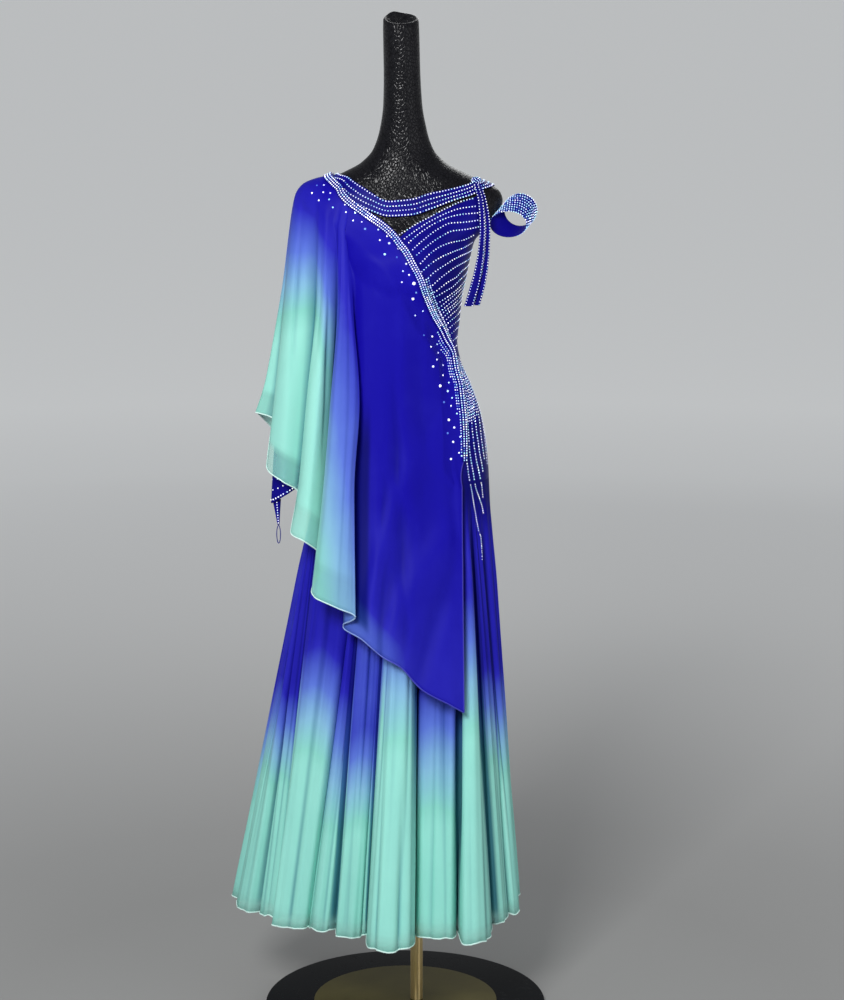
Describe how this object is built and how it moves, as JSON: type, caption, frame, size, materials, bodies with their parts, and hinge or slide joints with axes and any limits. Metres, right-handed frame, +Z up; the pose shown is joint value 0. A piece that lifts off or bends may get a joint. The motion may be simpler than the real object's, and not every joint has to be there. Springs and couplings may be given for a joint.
{
  "type": "ballroom dance dress on a dress form with pole and base",
  "caption": "Long one-sleeved ballroom dance dress with a fluted skirt and an asymmetric draped cape, on a limbless dress form with a pole and a round base.",
  "frame": {"origin": "middle of the round base's underside, on the floor", "axes": "+Z up along the pole, -Y out of the dress's front, +X to the side with the arm band"},
  "size_m": [0.6108, 0.544, 1.9125],
  "materials": {
    "base_enamel": "black gloss enamel",
    "base_inlay": "dark brushed bronze",
    "pole_metal": "polished tube",
    "form_cover": "black grained leatherette",
    "bodice_cloth": "stretch satin with stones",
    "beaded_band": "stone-set band",
    "skirt_chiffon": "dip-dyed chiffon, blue to mint",
    "cape_chiffon": "dip-dyed chiffon, blue to mint",
    "thread": "covered elastic"
  },
  "bodies": {
    "root": {"base_plate": "base_enamel", "base_inlay": "base_inlay", "pole": "pole_metal", "form_torso": "form_cover", "bodice_front": "bodice_cloth", "bodice_back": "bodice_cloth", "neck_band_front": "beaded_band", "neck_band_back": "beaded_band", "skirt_front": "skirt_chiffon", "skirt_back": "skirt_chiffon", "cape_front": "cape_chiffon", "cape_back": "cape_chiffon", "cape_trim": "beaded_band", "left_sleeve": "cape_chiffon", "finger_point": "cape_chiffon", "finger_loop": "thread", "shoulder_knot": "beaded_band", "tail_front": "beaded_band", "tail_back": "beaded_band", "arm_band": "beaded_band"}
  },
  "joints": []
}
